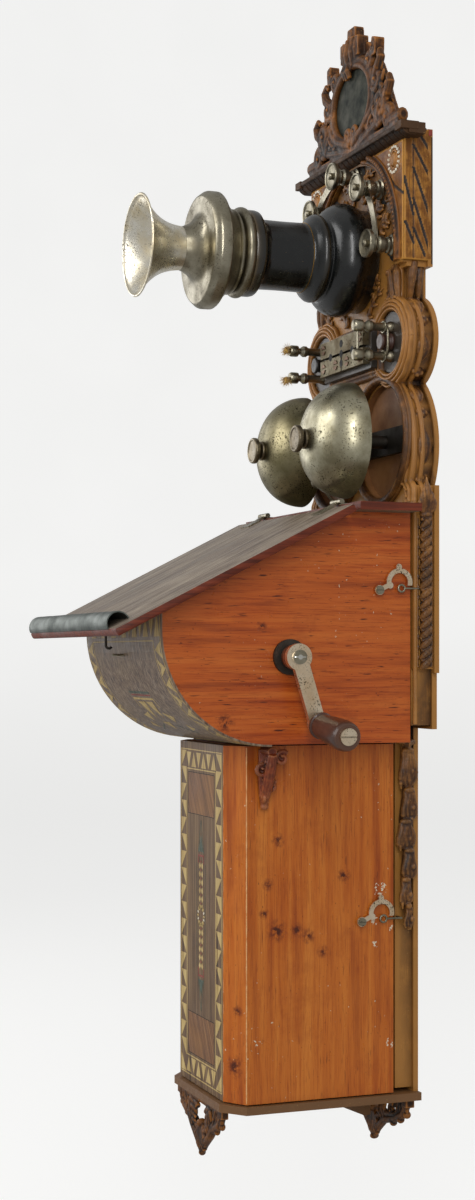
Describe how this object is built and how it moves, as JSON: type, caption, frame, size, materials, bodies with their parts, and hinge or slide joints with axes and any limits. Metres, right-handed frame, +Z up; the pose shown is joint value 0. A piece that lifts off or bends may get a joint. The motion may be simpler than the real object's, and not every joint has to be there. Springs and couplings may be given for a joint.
{
  "type": "wall crank telephone",
  "caption": "Wall telephone with carved backboard, horn transmitter, twin gongs, crank magneto box with sloping lid, and inlaid battery box below.",
  "frame": {"origin": "on the wall plane, on the vertical centre line of the backboard, level with the crank shaft", "axes": "+X to the right seen from the front, +Y into the wall, +Z up"},
  "size_m": [0.3019, 0.2583, 0.8802],
  "materials": {
    "carved_wood": "stained and gilded, rubbed at the edges",
    "crest_wood": "dark brown stain with gilt highlights",
    "pine": "orange shellac, worn",
    "veneer": "old rosewood veneer with maple inlay, dry",
    "nickel": "tarnished nickel plate, speckled",
    "bell_nickel": "tarnished nickel plate, speckled",
    "black_wood": "black lacquer, chipped",
    "knob_wood": "dark brown polish",
    "iron": "blackened iron",
    "brass": "dull brass",
    "copper_bush": "dull copper red",
    "screw_steel": "browned steel",
    "plaque": "dark oval plate, weathered",
    "inlay_white": "bone or mother of pearl",
    "rail_zinc": "grey rolled sheet metal",
    "coil_wire": "silk-covered copper wire",
    "green_wire": "green silk-covered copper wire",
    "magnet_red": "red painted magnet steel",
    "jar_glass": "pressed glass",
    "carbon": "carbon and pitch",
    "frayed_cord": "frayed cotton",
    "ebonite": "ebonite",
    "diaphragm_metal": "thin sheet"
  },
  "bodies": {
    "root": {"backboard": "carved_wood", "gable_cornice": "crest_wood", "gable_arch": "crest_wood", "crest_carving": "crest_wood", "oval_plaque": "plaque", "ring_inlays": "inlay_white", "side_mouldings": "carved_wood", "drop_carvings": "carved_wood", "gong_rings": "crest_wood", "gong_bridges": "iron", "gong_left": "bell_nickel", "gong_right": "bell_nickel", "gong_nuts": "nickel", "transmitter_base": "black_wood", "capsule_case": "nickel", "diaphragm": "diaphragm_metal", "mouthpiece": "nickel", "terminal_posts": "nickel", "terminal_nuts": "nickel", "terminal_links": "nickel", "arrester_base": "ebonite", "arrester_plates": "nickel", "arrester_screws": "screw_steel", "ear_rings": "crest_wood", "ear_posts": "nickel", "line_ends": "frayed_cord", "ringer_coils": "coil_wire", "ringer_frame": "iron", "base_shelf": "crest_wood", "front_apron": "crest_wood", "rear_apron": "carved_wood", "battery_jars": "jar_glass", "battery_plates": "carbon", "board_hardware": "nickel"},
    "upper_box": {"upper_case": "pine", "curved_front": "veneer", "top_board": "veneer", "upper_box_hardware": "nickel", "lid_plates": "nickel", "magneto_frame": "brass", "magnets": "magnet_red", "induction_coil": "green_wire", "crank_bush": "copper_bush"},
    "crank": {"crank_shaft": "nickel", "main_gear": "brass", "crank_arm": "nickel"},
    "crank_knob": {"crank_knob": "knob_wood"},
    "armature": {"armature": "iron"},
    "lid": {"lid_board": "veneer", "pen_rail": "rail_zinc", "lid_hardware": "nickel"},
    "lid_hook": {"lid_hook": "iron"},
    "hook_upper": {"hook_upper": "nickel"},
    "switch_hook": {"switch_hook": "nickel"},
    "lower_box": {"lower_case": "pine", "lower_front": "veneer", "lower_box_hardware": "nickel", "corbels": "crest_wood"},
    "hook_lower": {"hook_lower": "nickel"},
    "hammer": {"hammer": "iron"}
  },
  "joints": [
    {"name": "upper_box_swing", "type": "hinge", "parent": "root", "child": "upper_box", "pos_m": [-0.0985, -0.025, 0], "axis": [0, 0, -1], "range_deg": [0, 60]},
    {"name": "lower_box_swing", "type": "hinge", "parent": "root", "child": "lower_box", "pos_m": [-0.0698, -0.024, -0.2], "axis": [0, 0, -1], "range_deg": [0, 90]},
    {"name": "lid_lift", "type": "hinge", "parent": "upper_box", "child": "lid", "pos_m": [0, -0.072, 0.1152], "axis": [-1, 0, 0], "range_deg": [0, 70]},
    {"name": "crank_turn", "type": "hinge", "parent": "upper_box", "child": "crank", "pos_m": [0, -0.1185, 0], "axis": [1, 0, 0], "continuous": true},
    {"name": "knob_spin", "type": "hinge", "parent": "crank", "child": "crank_knob", "pos_m": [0.1146, -0.10388, -0.04782], "axis": [0.9903, 0, -0.1392], "continuous": true},
    {"name": "armature_spin", "type": "hinge", "parent": "upper_box", "child": "armature", "pos_m": [0, -0.1635, 0], "axis": [1, 0, 0], "continuous": true},
    {"name": "hammer_swing", "type": "hinge", "parent": "root", "child": "hammer", "pos_m": [0, -0.04, 0.058], "axis": [0, 1, 0], "range_deg": [-3, 3], "stiffness_Nm_per_rad": 0.05},
    {"name": "hook_upper_lift", "type": "hinge", "parent": "upper_box", "child": "hook_upper", "pos_m": [0.0978, -0.048, 0.0494], "axis": [1, 0, 0], "range_deg": [0, 100]},
    {"name": "hook_lower_lift", "type": "hinge", "parent": "lower_box", "child": "hook_lower", "pos_m": [0.0693, -0.0495, -0.199], "axis": [1, 0, 0], "range_deg": [0, 100]},
    {"name": "lid_hook_swing", "type": "hinge", "parent": "lid", "child": "lid_hook", "pos_m": [0, -0.229, 0.0238], "axis": [-1, 0, 0], "range_deg": [0, 50]},
    {"name": "switch_hook_drop", "type": "hinge", "parent": "upper_box", "child": "switch_hook", "pos_m": [-0.078, -0.104, 0.044], "axis": [0, -1, 0], "range_deg": [0, 12], "stiffness_Nm_per_rad": 0.4, "springref_deg": -8.59}
  ],
  "couplings": [
    {"joint": "armature_spin", "follows": "crank_turn", "ratio": -4}
  ]
}
